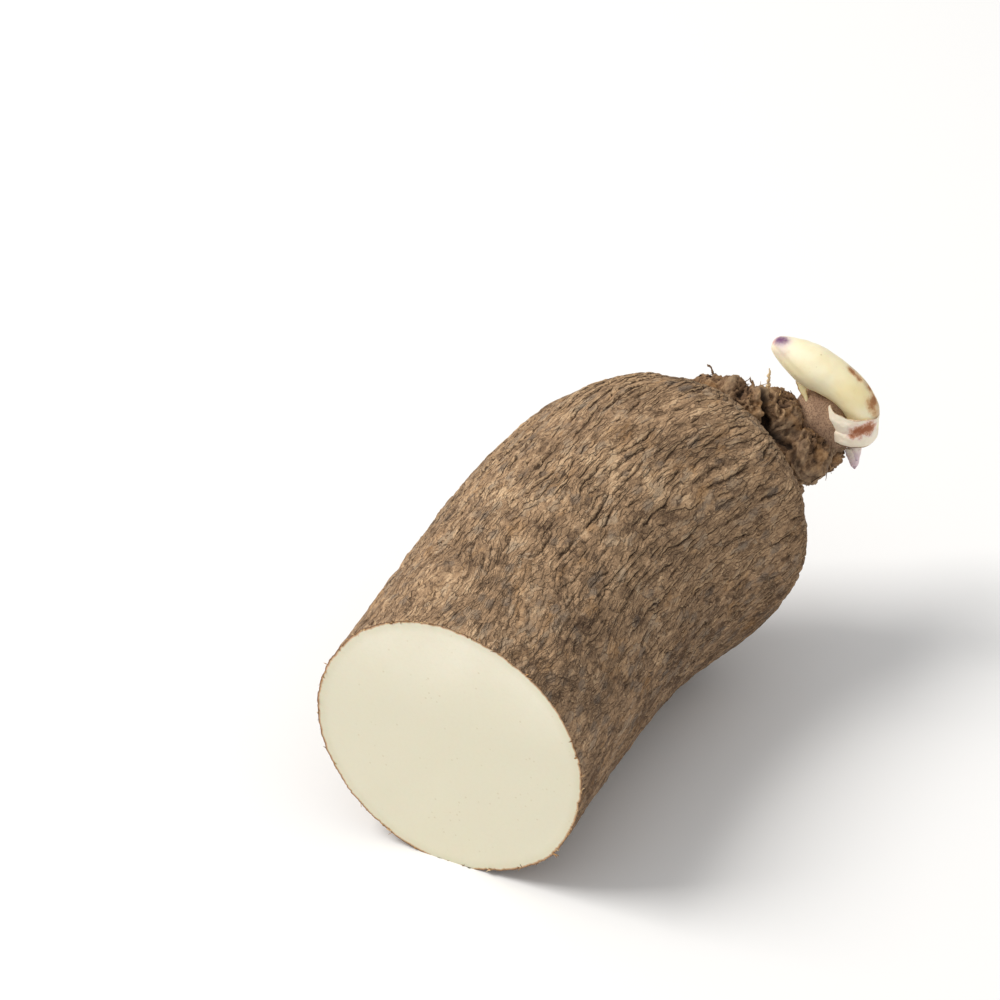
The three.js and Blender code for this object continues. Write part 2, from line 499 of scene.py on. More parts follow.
def plateProfile(phase):
    # overlapping plates: up steeply from a crack, then slowly down to the next
    f = phase - np.floor(phase)
    steep = tuber["steepShare"]
    return np.where(f < steep, f / steep, (1 - f) / (1 - steep))


def grooveProfile(phase, width):
    # a narrow bell-shaped valley along each crack
    f = phase - np.floor(phase)
    return np.exp(-((np.minimum(f, 1 - f) / width) ** 2))


def barkHeight(place, run, fields):
    # lumps of three sizes, the plates and valleys of both kinds of crack, and pebbles, added up; less at
    # the cut
    big, middle, small = tuber["lumpHeights"]
    height = (big * softNoise(place, (26, 34, 26), 11) + middle * layeredNoise(place, (8, 13, 8), 12, 2)
              + small * softNoise(place, (2.4, 4, 2.4), 14))
    for kind, (lines, opened) in zip(cracks.values(), fields):
        height += kind["lift"] * opened * (plateProfile(lines) - 0.5)
        height -= kind["depth"] * opened * grooveProfile(lines, kind["width"])
    stirred = place + 0.9 * softNoise(place, 3, 15)[..., None]
    gap, name = cellNoise(stirred, tuber["pebbleSize"], 16)[1:]
    height += tuber["pebbleDepth"] * (eased(gap, 0, 0.35) - 0.7 + 0.5 * (name - 0.5))
    return height * (1 - 0.35 * eased(run, 2, 0))


def cutDisc(rim, inward):
    # the rim drawn in towards its middle, ring by ring, with a dip of soft noise that starts past the rim
    middle = rim.mean(0)
    reach = np.linalg.norm(rim - middle, axis=-1).mean()
    disc = middle + (rim - middle) * (1 - inward / reach)
    disc[..., 1] += tuber["cutDip"] * (1 + softNoise(disc, 16, 21)) * eased(inward[..., 0], 0, 5)
    return disc, middle


def cornerPairs(pair):
    # both line counts at each face corner of a closed grid, the last column going on into the next turn
    turns = np.array([kind["count"] for kind in cracks.values()])
    wider = np.concatenate([pair, pair[:, :1] + turns], 1)
    quads = np.stack([wider[:-1, :-1], wider[1:, :-1], wider[1:, 1:], wider[:-1, 1:]], 2)
    start = np.stack([wider[0, :-1], wider[0, :-1], wider[0, 1:]], 1)
    end = np.stack([wider[-1, :-1], wider[-1, 1:], wider[-1, :-1]], 1)
    return np.concatenate([part.reshape(-1, 2) for part in (quads, start, end)])


def makeTuber(barkFinish, fleshFinish):
    # the smooth surface raised by the bark's height, straight outwards at the cut, closed by the cut's disc
    columns = tuber["columns"]
    along, across, run = (v[:, None] for v in tuberProfile())
    angle = evenAngles(columns)[None]
    smooth = tuberSurface(along, across, angle)
    atCut = eased(run, 3, 0)[..., None]
    facing = unit(rowNormals(smooth) * (1 - atCut * np.array([0, 1, 0])))
    place = np.stack([across * np.cos(angle), run + 0 * angle, across * np.sin(angle)], -1)
    offPole = eased(across, 5, 22)
    fields = [crackField(kind, place, angle, offPole) for kind in cracks.values()]
    rows = smooth + facing * barkHeight(place, run, fields)[..., None]
    rim = rows[0]
    inward = np.array(tuber["cutRings"])[:, None, None]
    disc, middle = cutDisc(rim, inward)
    whole = np.concatenate([disc, rows])
    whole[..., 2] = np.maximum(whole[..., 2], 0)
    sidesOnDisc = np.repeat(np.arange(len(whole) - 1) < len(disc), columns)
    onDisc = np.concatenate([sidesOnDisc, np.repeat([True, False], columns)])
    mesh = closedGrids("tuber_skin", [whole], onDisc)

    def spread(values, onCut, startPole, endPole):
        # a value for each point: the disc's rows, the bark's rows, then the two poles
        kind = values.shape[2:]
        head = np.broadcast_to(onCut, disc.shape[:2] + kind).reshape(-1, *kind)
        bark = np.broadcast_to(values, rows.shape[:2] + kind).reshape(-1, *kind)
        return np.concatenate([head, bark, [startPole], [endPole]])

    (wide, wideOpen), (narrow, narrowOpen) = fields
    keepPlaces(mesh, "barkPlace", spread(place, disc, middle, place[-1].mean(0)))
    keepNumbers(mesh, "wideOpen", spread(wideOpen, 0, 0, 0))
    keepNumbers(mesh, "narrowOpen", spread(narrowOpen, 0, 0, 0))
    keepNumbers(mesh, "fromRim", spread(0 * run, inward[..., 0], tuber["cutRadius"], 0))
    keepNumbers(mesh, "headShare", spread(eased(run, 60, 175), 0, 0, 1))
    # how low each point sits, for painted shade on the bark's lower side
    keepNumbers(mesh, "lowShare", spread(eased(smooth[..., 2], 98, 22), 0, 0, 0))
    pair = np.stack([wide, narrow], -1)
    pairs = cornerPairs(np.concatenate([np.repeat(pair[:1], len(disc), 0), pair]))
    mesh.uv_layers.new(name="cracks").data.foreach_set("uv", pairs.astype(np.float32).ravel())
    addPiece("tuber_skin", mesh, "bark", ["tuber"], barkFinish, fleshFinish)
    mesh.polygons.foreach_set("material_index", onDisc.astype(np.int32))
    return rim


def makeBarkFinish():
    # a skin tone of noise at four sizes with painted shade low down, then greys, stains, pale flecks partly
    # painted as small highlights, painted highlights on the plates' lips and wrinkles, and painted shade in
    # wrinkles, plate edges, cracks and pits
    f = Finish("cracked_bark", Specular_IOR_Level=0.25)
    place = f.attribute("barkPlace", "Vector")
    lines = f.node("ShaderNodeUVMap", {"uv_map": "cracks"}, {})
    jag = f.noise(place, 0.85, 3, 0.6) - 0.5

    def crackLines(axis, name, stray, width):
        # a dark line of painted shade along each open crack, and the plate that leans on it
        phase = (lines.part(axis) + jag * stray).fraction()
        opened = f.attribute(name)
        return phase.fromLine().eased(width, 0.01) * opened, phase.plate(tuber["steepShare"]) * opened

    wideLine, widePlate = crackLines(0, "wideOpen", 0.3, 0.085)
    narrowLine, narrowPlate = crackLines(1, "narrowOpen", 0.4, 0.1)
    # painted shade in the cracks; the same lines also sink the bump
    crack = wideLine.most(narrowLine * 0.9)
    wander = f.noise(place, 0.3, 2) * 1.6 + jag * 0.7
    wrinkle = (lines.part(0) * 2.5 + wander).fraction()
    wrinkleOpen = f.noise(f.scaled(place, (1.0, 0.4, 1.0)), 0.5, 2, 0.6).eased(0.4, 0.53)
    # painted shade along each wrinkle, and a painted highlight on the raised plate beside it
    wrinkleLine = wrinkle.fromLine().eased(0.16, 0.02) * wrinkleOpen
    wrinklePlate = wrinkle.plate(0.2) * wrinkleOpen

    stretched = f.scaled(place, (1.0, 0.45, 1.0))
    stir = f.noise(place, 0.45, 3, output="Color")
    stirred = f.node("ShaderNodeVectorMath", {"operation": "MULTIPLY_ADD"},
                     {0: stir, 1: (3.2, 3.2, 3.2), 2: place})
    platePlace = f.scaled(stirred, (1.0, 0.42, 1.0))
    plateTone = f.cells(platePlace, 0.4, "F1", "Color").part(0)
    broad = f.noise(place, 0.045, 2)
    patchy = f.noise(stretched, 0.24, 3, 0.6)
    streaks = f.noise(f.scaled(place, (1.0, 0.32, 1.0)), 0.8, 4, 0.65)
    grain = f.noise(stretched, 2.6, 3, 0.7)
    scales = f.cells(f.scaled(place, (1.0, 0.5, 1.0)), 0.62, "SMOOTH_F1")
    tone = 0.55 + (broad - 0.5) * 0.7 + (patchy - 0.5) * 0.85 + (streaks - 0.5) * 0.95 + (grain - 0.5) * 0.95
    tone = tone + (plateTone - 0.5) * 0.34
    # painted shade: the tone darker towards the bottom
    tone = tone - f.attribute("headShare") * 0.03 - f.attribute("lowShare") * 0.22

    greyCells = f.cells(f.scaled(place, (1.0, 0.55, 1.0)), 0.2)
    greyChoice = f.noise(place, 0.08, 1).eased(0.38, 0.56)
    grey = (greyCells + (grain - 0.5) * 0.25).eased(0.4, 0.22) * greyChoice * (streaks + 0.25)
    greyPlate = plateTone.eased(0.8, 0.84) * patchy.eased(0.4, 0.6)
    smut = f.noise(stretched, 0.5, 3, 0.7).eased(0.55, 0.72)
    rust = f.noise(stretched, 0.13, 4, 0.7).eased(0.54, 0.7)
    # pale flecks, partly the bark's own and partly painted small highlights
    fleck = f.noise(stretched, 1.1, 3, 0.75).eased(0.62, 0.74)
    # painted highlight on the raised lip of each plate beside a crack
    lip = widePlate.eased(0.7, 1.0).most(narrowPlate.eased(0.7, 1.0)) * (grain + 0.1)
    # painted shade along the edges of the plates, which the bump also sinks
    plateEdge = f.cells(platePlace, 0.4, "DISTANCE_TO_EDGE").eased(0.07, 0.0)
    plateEdge = plateEdge * f.noise(place, 0.35, 2).eased(0.4, 0.6)
    # painted shade in small pits, which the bump also sinks
    pits = f.noise(stretched, 1.7, 2, 0.6).eased(0.36, 0.26)
    skin = f.layered(
        f.ramp(tone, [(0.1, (94, 72, 54)), (0.38, (141, 114, 87)), (0.62, (176, 143, 110)),
                      (0.92, (218, 186, 148))]),
        (grey * 0.6, (106, 101, 95)),
        (greyPlate * 0.45, (110, 103, 95)),
        (smut * 0.34, (110, 92, 74)),
        (rust * 0.45, (184, 140, 92)),
        # pale flecks, partly painted small highlights
        (fleck * 0.5, (216, 196, 164)),
        # painted highlights on the plates' lips and on the wrinkle plates
        (lip * 0.7, (212, 180, 140)),
        (wrinklePlate.eased(0.7, 1.0) * grain * 0.6, (206, 174, 136)),
        # painted shade: wrinkle lines, plate edges, cracks and pits darkened
        (wrinkleLine * 0.6, (74, 55, 40)),
        (plateEdge * 0.62, (78, 57, 41)),
        (crack * 0.84, (58, 41, 29)),
        (pits * 0.4, (76, 56, 40)),
    )
    height = (widePlate * 0.26 + narrowPlate * 0.16 - crack * 0.38 + grain * 0.2 + streaks * 0.34
              - scales * 0.45 + f.noise(stretched, 6.0, 1) * 0.12 - pits * 0.12
              + wrinklePlate * 0.16 - wrinkleLine * 0.14 + plateTone * 0.5 - plateEdge * 0.26)
    return f.feed(Base_Color=skin, Roughness=0.78 + grain * 0.2, Normal=f.bump(height, 0.9, millimetre))


def makeFleshFinish():
    # creamy with painted shade low down, grain and dots; a greenish ring, then the skin's brown edge
    f = Finish("cut_flesh", Specular_IOR_Level=0.35, Subsurface_Weight=0.12, Subsurface_Scale=0.003)
    place = f.objectPlace()
    inward = f.attribute("fromRim")
    cloud = f.noise(place, 45.0, 3, 0.55)
    grain = f.noise(place, 900.0, 2, 0.6)
    dots = f.cells(place, 420.0).eased(0.2, 0.08) * f.noise(place, 130.0, 1).eased(0.5, 0.62)
    wobble = f.noise(place, 220.0, 2) - 0.5
    flesh = f.layered(
        f.blend(cloud.eased(0.2, 0.8), (240, 234, 214), (234, 227, 204)),
        # painted shade: the flesh darker low down
        (place.part(2).eased(0.088, 0.052) * 0.9, (224, 218, 194)),
        ((grain - 0.42) * 0.3, (212, 202, 172)),
        (dots * 0.35, (196, 180, 142)),
        ((inward + wobble * 1.4).eased(4.2, 1.0) * 0.36, (208, 203, 172)),
        ((inward + wobble * 0.7).eased(1.0, 0.45) * 0.85, (186, 140, 92)),
        ((inward + wobble * 0.5).eased(0.5, 0.12) * 0.9, (104, 74, 48)),
    )
    return f.feed(Base_Color=flesh, Roughness=0.42 + cloud * 0.14,
                  Normal=f.bump(cloud * 0.3 + grain * 0.06, 0.5, millimetre))


print("tuber")
cutRim = makeTuber(makeBarkFinish(), makeFleshFinish())


# Splinters and flakes of skin along the cut's edge
rimBits = {
    "count": 130,
    "steps": 6,
    "longest": 2.0,
    "rootDepth": 0.2,
    "lean": (0.5, 1.68, 0.3),
    "curl": 0.5,
    "halfAcross": 0.32,
    "halfDeep": 0.07,
    "lowest": (-math.inf, -73.1, 0),
    "stops": [(0.05, (92, 66, 44)), (0.35, (140, 106, 72)), (0.65, (196, 152, 102)), (0.95, (228, 206, 166))],
}


def makeRimBits(rim, finish):
    # short strips that start on the rim, lean out, along it or forwards, and curl out or in
    chance = np.random.default_rng(5)
    count, steps = rimBits["count"], rimBits["steps"]
    root = rim[chance.integers(0, len(rim), count)]
    outward = unit(root - rim.mean(0))
    along = np.cross(outward, [0, 1, 0])
    size = rimBits["longest"] * (0.3 + 0.7 * chance.random(count) ** 2)
    lean = chance.normal(0, 1, (count, 3)) * rimBits["lean"]
    heading = unit(outward * lean[:, :1] + along * lean[:, 1:2] + np.array([0, -1, 0]) * lean[:, 2:])
    curl = chance.normal(0, rimBits["curl"], (count, 1)) * outward
    paths = bentPaths(root - outward * rimBits["rootDepth"], heading, size, curl, steps)
    taper = np.sin(np.linspace(0.35, math.pi - 0.12, steps))[None]
    wide = rimBits["halfAcross"] * (0.4 + chance.random((count, 1))) * taper
    thin = rimBits["halfDeep"] * (0.5 + taper) + 0 * wide
    mesh = manyStrips("rim_bits", paths, np.cross(heading, outward)[:, None], wide, thin, chance.random(count),
                      rimBits["lowest"])
    return addPiece("rim_bits", mesh, "bark", ["tuber"], finish)


def makeBitFinish(name, stops):
    # dry scraps: each strip has its own tone, streaked by noise
    f = Finish(name, Specular_IOR_Level=0.25, Roughness=0.8)
    streak = f.noise(f.objectPlace(), 700.0, 3, 0.6)
    skin = f.ramp(f.attribute("tone") * 0.75 + (streak - 0.35) * 0.7, stops)
    return f.feed(Base_Color=skin, Normal=f.bump(streak, 0.6, 0.2 * millimetre))


print("rim")
makeRimBits(cutRim, makeBitFinish("rim_scraps", rimBits["stops"]))


# The crown: a knot of old stem bases, cleft and flaky. knuckles: middle and half sizes. knots: middle, radius
crown = {
    "knuckles": [
        ((31.5, 90.5, 68), (26, 14, 24)),
        ((27.5, 91.5, 92), (17, 9, 9)),
        ((41.5, 99.5, 84), (11, 12, 11)),
        ((55.5, 93.5, 76), (9, 12, 10)),
        ((54, 108.5, 71), (11.5, 11, 11)),
        ((37.5, 94.5, 52), (14, 11, 14)),
    ],
    "voxel": 0.55,
    "lumpLift": 0.8,
    "slabLift": 1.6,
    "chipLift": 0.85,
    "fibreDepth": 0.7,
    "roughDepth": 0.28,
    "creaseDepth": 0.8,
    "cleftLine": [(35.5, 104.1, 100.4), (37.1, 100.9, 94.9), (41.1, 93.7, 82.6), (49.1, 94.3, 78.0),
                  (53.1, 92.1, 72.4)],
    "cleftFacing": (0.3749, -0.7422, 0.5556),
    "cleftDepth": 4.2,
    "cleftHalf": 1.5,
    "knots": [((45.8, 93.5, 92.1), 4.2), ((31, 96, 96), 3.4), ((57.5, 88.5, 80.5), 3.8)],
    "sunk": 0.4,
    "pastBox": 2.2,
}
crownTop = np.array(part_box("crown")[1]) / millimetre


def ballRows(at, half, rows, columns):
    # an ellipsoid from its lowest point up: middle + half sizes times the sine and cosine of two angles
    rise = np.linspace(0, math.pi, rows + 2)[1:-1, None]
    angle = evenAngles(columns)[None]
    across, up = np.sin(rise), -np.cos(rise)
    way = np.stack([across * np.cos(angle), -across * np.sin(angle), up + 0 * angle], -1)
    return np.asarray(at, float) + np.asarray(half, float) * way, way


def remeshed(name, grids, voxel):
    # several closed surfaces that overlap, made one even skin
    holder = bpy.data.objects.new(name, closedGrids(name, grids))
    bpy.context.scene.collection.objects.link(holder)
    skin = holder.modifiers.new("evenSkin", "REMESH")
    skin.mode = "VOXEL"
    skin.voxel_size = voxel * millimetre
    made = bpy.data.meshes.new_from_object(holder.evaluated_get(bpy.context.evaluated_depsgraph_get()))
    bpy.data.objects.remove(holder)
    return made


def meshArrays(mesh):
    # a mesh's points in millimetres, and the way it faces at each
    points = np.zeros(len(mesh.vertices) * 3, np.float32)
    mesh.vertices.foreach_get("co", points)
    facing = np.zeros(len(mesh.vertices) * 3, np.float32)
    mesh.vertex_normals.foreach_get("vector", facing)
    return points.reshape(-1, 3).astype(float) / millimetre, facing.reshape(-1, 3).astype(float)


def stepped(value, steps=3):
    # flat treads with a steep rise at the end of each
    climb = value * steps
    low = np.floor(climb)
    return (low + eased(climb - low, 0.7, 1.0)) / steps


def cleftShare(p):
    # 1 on a sheet that runs back from a bent line, falling to 0 beside it and fading low down
    facing = unit(np.array(crown["cleftFacing"]))
    line = np.array(crown["cleftLine"], float)
    flatPoints = p - (p @ facing)[:, None] * facing
    flatLine = line - (line @ facing)[:, None] * facing
    away = np.full(len(p), 99.0)
    for a, b in zip(flatLine[:-1], flatLine[1:]):
        t = np.clip((flatPoints - a) @ (b - a) / np.dot(b - a, b - a), 0, 1)
        away = np.minimum(away, np.linalg.norm(flatPoints - a - t[:, None] * (b - a), axis=-1))
    fade = 0.35 + 0.65 * eased(flatPoints[:, 2], flatLine[3, 2], flatLine[2, 2])
    return eased(away + 0.6 * softNoise(p, 2.4, 77), crown["cleftHalf"] * 1.5, 0.2) * fade


def woodRelief(p, facing, seed):
    # lumps, stepped slabs and chips, ridges along the growth, curled knots and one deep cleft, all added up
    bent = p + 2.4 * np.stack([softNoise(p, 8, seed + k) for k in range(3)], -1)
    bent = bent + 0.7 * np.stack([softNoise(p, 2.4, seed + 10 + k) for k in range(3)], -1)
    slab = stepped(softNoise(bent, (6, 11, 7), seed + 3))
    chip = stepped(softNoise(bent, (2.1, 5, 2.7), seed + 4))
    ridge = 1 - 2.4 * np.abs(layeredNoise(bent, (1.7, 9, 2.2), seed + 5, 2))
    crease = eased(np.abs(softNoise(bent, (4.2, 11, 5), seed + 6)), 0.09, 0.0)
    cleft = cleftShare(p) * eased(facing @ unit(np.array(crown["cleftFacing"])), 0.0, 0.35)
    knot = np.zeros(len(p))
    for at, size in crown["knots"]:
        away = np.linalg.norm(p - at, axis=-1) / size + 0.14 * softNoise(p, 2, seed + 30)
        knot += eased(away, 1.0, 0.75) * (0.9 + 0.9 * np.cos(away * 13)) * 0.8
    relief = knot + crown["slabLift"] * slab + crown["chipLift"] * chip + crown["fibreDepth"] * (ridge - 0.4)
    relief += crown["lumpLift"] * softNoise(p, 8, seed + 9)
    relief += crown["roughDepth"] * layeredNoise(p, 1.5, seed + 8, 2)
    relief -= crown["creaseDepth"] * crease + crown["cleftDepth"] * cleft
    return relief, cleft, crease, slab


def makeCrown(finish):
    # overlapping balls made one skin, each point moved by the relief the way it faces
    balls = [ballRows(at, half, 40, 60)[0] for at, half in crown["knuckles"]]
    mesh = remeshed("crown_wood", balls, crown["voxel"])
    p, facing = meshArrays(mesh)
    relief, cleft, crease, slab = woodRelief(p, facing, 40)
    p = np.minimum(p + facing * (relief - crown["sunk"])[:, None], crownTop + crown["pastBox"])
    mesh.vertices.foreach_set("co", (p * millimetre).astype(np.float32).ravel())
    mesh.polygons.foreach_set("use_smooth", np.ones(len(mesh.polygons), bool))
    mesh.update()
    # painted light and shade for the finish: lift lightens raised wood and darkens its hollows
    keepNumbers(mesh, "lift", np.clip(0.55 + relief * 0.22, 0, 1))
    keepNumbers(mesh, "block", 0.5 + 0.5 * slab)
    # painted shade in the cleft and the creases
    keepNumbers(mesh, "cleft", np.clip(1.5 * cleft + 0.55 * crease, 0, 1))
    addPiece("crown_wood", mesh, "crown_wood", ["crown"], finish)
    return p, facing


def makeWoodFinish():
    # painted light where the wood stands out and painted shade in its hollows, streaked along the growth;
    # golden patches, grey slabs and painted shade in the cleft and creases
    f = Finish("crown_bark", Specular_IOR_Level=0.25)
    place = f.objectPlace()
    streaks = f.noise(f.scaled(place, (1.0, 0.22, 1.0)), 800.0, 3, 0.65)
    rough = f.noise(place, 420.0, 4, 0.7)
    # painted light where the wood stands out, painted shade in its hollows
    tone = f.attribute("lift") * 0.6 + (streaks - 0.5) * 1.0 + (rough - 0.5) * 0.9 + 0.15
    skin = f.layered(
        f.ramp(tone, [(0.08, (54, 39, 27)), (0.3, (108, 82, 60)), (0.56, (150, 120, 90)),
                      (0.88, (192, 160, 122))]),
        (f.noise(place, 95.0, 2, 0.6).eased(0.5, 0.66) * 0.3, (186, 138, 84)),
        (f.attribute("block").eased(0.58, 0.74) * 0.35, (118, 106, 94)),
        # painted shade in the cleft and creases
        (f.attribute("cleft") * 0.78, (38, 26, 18)),
    )
    height = streaks * 0.7 + rough * 0.35 + f.noise(place, 1500.0, 2) * 0.25
    return f.feed(Base_Color=skin, Roughness=0.82 + rough * 0.15, Normal=f.bump(height, 0.8, 0.6 * millimetre))


print("crown")
crownPoints, crownFacing = makeCrown(makeWoodFinish())


# Flakes and fibres that stand off the crown
scraps = {
    "steps": 7,
    "pastBox": 2.4,
    "flakes": 300,
    "flakeLength": (1.4, 5.0),
    "flakeHalfAcross": (0.2, 0.75),
    "flakeHalfDeep": 0.13,
    "fibres": 40,
    "shareInCleft": 0.45,
    "cleftMouth": (36.5, 98.5, 92),
    "mouthSpread": (1.6, 2.2, 4.5),
    "stops": [(0.05, (58, 42, 30)), (0.4, (112, 84, 60)), (0.7, (158, 124, 88)), (0.98, (206, 170, 122))],
}


def makeScraps(finish):
    # strips rooted on the crown's skin: they run along it and a little off it, and curl
    chance = np.random.default_rng(11)
    count, steps = scraps["flakes"], scraps["steps"]
    seat = chance.choice(np.flatnonzero((crownPoints[:, 1] > 84) & (crownPoints[:, 2] > 42)), count)
    root, out = crownPoints[seat], crownFacing[seat]
    low, high = scraps["flakeLength"]
    size = low + (high - low) * chance.random(count) ** 2
    drift = unit(chance.normal(0, 1, (count, 3)) * np.array([0.7, 1.0, 0.7]) + np.array([0.1, 0.5, 0.15]))
    flat = unit(drift - out * np.sum(drift * out, -1, keepdims=True))
    lift = 0.02 + 0.26 * chance.random((count, 1)) ** 3
    heading = unit(flat + out * lift)
    curl = out * chance.normal(0.0, 0.4, (count, 1)) * size[:, None] * 0.22
    paths = bentPaths(root - out * 0.25, heading, size, curl, steps)
    low, high = scraps["flakeHalfAcross"]
    taper = np.sin(np.linspace(0.5, math.pi - 0.15, steps))[None] ** 0.7
    wide = (low + (high - low) * chance.random((count, 1)) ** 1.5) * taper
    thin = scraps["flakeHalfDeep"] * (0.5 + 0.6 * taper) + 0 * wide
    side = np.cross(heading, out)[:, None] + 0.35 * chance.normal(0, 1, (count, 1, 3))
    paths = np.minimum(paths, crownTop + scraps["pastBox"])
    mesh = manyStrips("crown_flakes", paths, side, wide, thin, chance.random(count) ** 1.3)
    return addPiece("crown_flakes", mesh, "crown_wood", ["crown"], finish)


def makeFibres(finish):
    # thin bent hairs, some rooted in the cleft's mouth and the rest anywhere on the crown
    chance = np.random.default_rng(23)
    count, steps = scraps["fibres"], scraps["steps"]
    inCleft = (chance.random(count) < scraps["shareInCleft"])[:, None]
    mouth = scraps["cleftMouth"] + chance.normal(0, 1, (count, 3)) * scraps["mouthSpread"]
    choice = np.flatnonzero((crownPoints[:, 1] > 90) & (crownPoints[:, 2] > 45))
    seat = chance.choice(choice, count)
    few = choice[::7]
    nearest = few[np.argmin(np.linalg.norm(crownPoints[None, few] - mouth[:, None], axis=-1), axis=1)]
    root = np.where(inCleft, crownPoints[nearest], crownPoints[seat])
    out = np.where(inCleft, crownFacing[nearest], crownFacing[seat])
    heading = unit(out * 0.5 + chance.normal(0, 0.7, (count, 3)))
    size = 1.5 + 4 * chance.random(count) ** 1.5
    bend = chance.normal(0, 0.3, (count, 3)) * size[:, None]
    paths = np.minimum(bentPaths(root - out * 0.3, heading, size, bend, steps), crownTop + scraps["pastBox"])
    thick = (0.09 + 0.1 * chance.random((count, 1))) * np.linspace(1, 0.35, steps)[None]
    side = np.cross(heading, [0.3, 0.2, 1.0])[:, None]
    mesh = manyStrips("crown_fibres", paths, side, thick * 1.6, thick, 0.2 + 0.8 * chance.random(count))
    return addPiece("crown_fibres", mesh, "dry_root", ["crown"], finish)


print("flakes and fibres")
makeScraps(makeBitFinish("crown_scraps", scraps["stops"]))
makeFibres(makeBitFinish("dry_fibres", scraps["stops"]))


# The stippled swelling under the sprout
swelling = {
    "at": (56, 112, 80.5),
    "half": (12, 11.5, 13),
    "rows": 190,
    "columns": 260,
    "lumpHeight": 0.5,
    "stippleSize": 0.85,
    "stippleHeight": 0.1,
    "scaleSize": (2.6, 3.8, 2.2),
    "scaleHeight": 0.7,
}


def makeSwelling(finish):
    # an ellipsoid with soft lumps, fine dimples, and stepped scales on the side next to the crown
    rows, way = ballRows(swelling["at"], swelling["half"], swelling["rows"], swelling["columns"])
    towardsCrown = -way[..., 0] * 0.75 - way[..., 1] * 0.1 - way[..., 2] * 0.6
    scaly = eased(towardsCrown + 0.25 * softNoise(rows, 5, 60), 0.15, 0.5)
    stir = np.stack([layeredNoise(rows, 2.6, 58 + k, 2) for k in range(3)], -1)
    gap, name = cellNoise(rows + 1.6 * stir, swelling["scaleSize"], 62)[1:]
    pit = cellNoise(rows, swelling["stippleSize"], 66)[0]
    height = swelling["lumpHeight"] * layeredNoise(rows, 8, 63, 2)
    height += swelling["stippleHeight"] * (eased(pit, 0.15, 0.5) - 0.5)
    height += scaly * swelling["scaleHeight"] * (name - 0.4 - 0.9 * (1 - eased(gap, 0.02, 0.22)))
    mesh = closedGrids("bud_sheath", [raised(rows, height)])
    keepNumbers(mesh, "scaly", scaly, (scaly[0].mean(), scaly[-1].mean()))
    keepNumbers(mesh, "scaleTone", name, (0.5, 0.5))
    keepNumbers(mesh, "scaleGap", gap, (0.5, 0.5))
    return addPiece("bud_sheath", mesh, "sheath", ["bud_swelling"], finish)


def makeSheathFinish():
    # pinkish brown with dark stipples; toned scales with dark gaps towards the crown, and a dark underside
    # that is the neck's own brown with painted shade under the swelling
    f = Finish("stippled_sheath", Specular_IOR_Level=0.3)
    place = f.objectPlace()
    broad = f.noise(place, 130.0, 2)
    fine = f.noise(place, 900.0, 3, 0.65)
    stipple = f.cells(place, 1750.0).eased(0.6, 0.25)
    scales = f.layered(
        f.blend(f.attribute("scaleTone") * 0.5 + fine * 0.5, (94, 76, 61), (146, 126, 106)),
        (f.attribute("scaleGap").eased(0.16, 0.03) * 0.6, (54, 40, 29)),
    )
    # the darker underside: the neck's own dark brown with painted shade under the swelling
    under = f.blend(f.noise(place, 300.0, 3, 0.6).eased(0.35, 0.65), (62, 44, 31), (122, 94, 68))
    skin = f.layered(
        f.blend(broad.eased(0.35, 0.65), (152, 121, 97), (176, 144, 116)),
        ((fine - 0.3) * 0.8, (122, 92, 73)),
        (stipple * 0.5, (88, 64, 50)),
        (f.attribute("scaly"), scales),
        # painted shade, with the neck's own brown, low on the swelling
        (place.part(2).eased(0.0745, 0.0705) * 0.8, under),
    )
    height = stipple * -0.4 + fine * 0.35
    return f.feed(Base_Color=skin, Roughness=0.68 + fine * 0.2, Normal=f.bump(height, 0.6, 0.35 * millimetre))


print("swelling")
makeSwelling(makeSheathFinish())


# The sprout. bruises: middle and radius
sprout = {
    "line": [(70, 112, 82), (69, 111.6, 89.6), (64, 111.4, 95.7), (56.4, 111.4, 99.9), (46.6, 111, 103.5),
             (35.8, 110.2, 108.6)],
    "half": 6.7,
    "rows": 150,
    "columns": 128,
    "purpleSpot": (38.6, 108.7, 110.8),
    "lilacSpot": (41, 105.8, 107.9),
    "stains": [(64.3, 114.3, 101.7), (69.3, 113.7, 97.5), (73.2, 112.2, 93.1), (74.4, 111.4, 89.2)],
    "stainRadius": 5.2,
    "bruises": [((64.5, 112.6, 102.8), 3.4), ((67.6, 112.4, 101), 3.2), ((73, 109.6, 93.2), 4.4),
                ((73.4, 110.6, 89.6), 3.6), ((71.6, 113.4, 98), 3.4), ((73.8, 112.8, 94.6), 3.4)],
    "notch": (39.9, 106.9, 110.2),
}


def sproutHalf(t):
    # a quarter wave of widening from the foot, a bell-shaped bulge, then the root of one minus a power
    foot = 0.82 + 0.18 * np.sin(np.minimum(t / 0.45, 1) * math.pi / 2)
    bulge = 1 + 0.14 * np.exp(-(((t - 0.66) / 0.17) ** 2))
    tip = np.where(t < 0.6, 1, np.sqrt(np.maximum(0, 1 - (np.maximum(t - 0.6, 0) / 0.4) ** 2.3)))
    return sprout["half"] * foot * bulge * tip


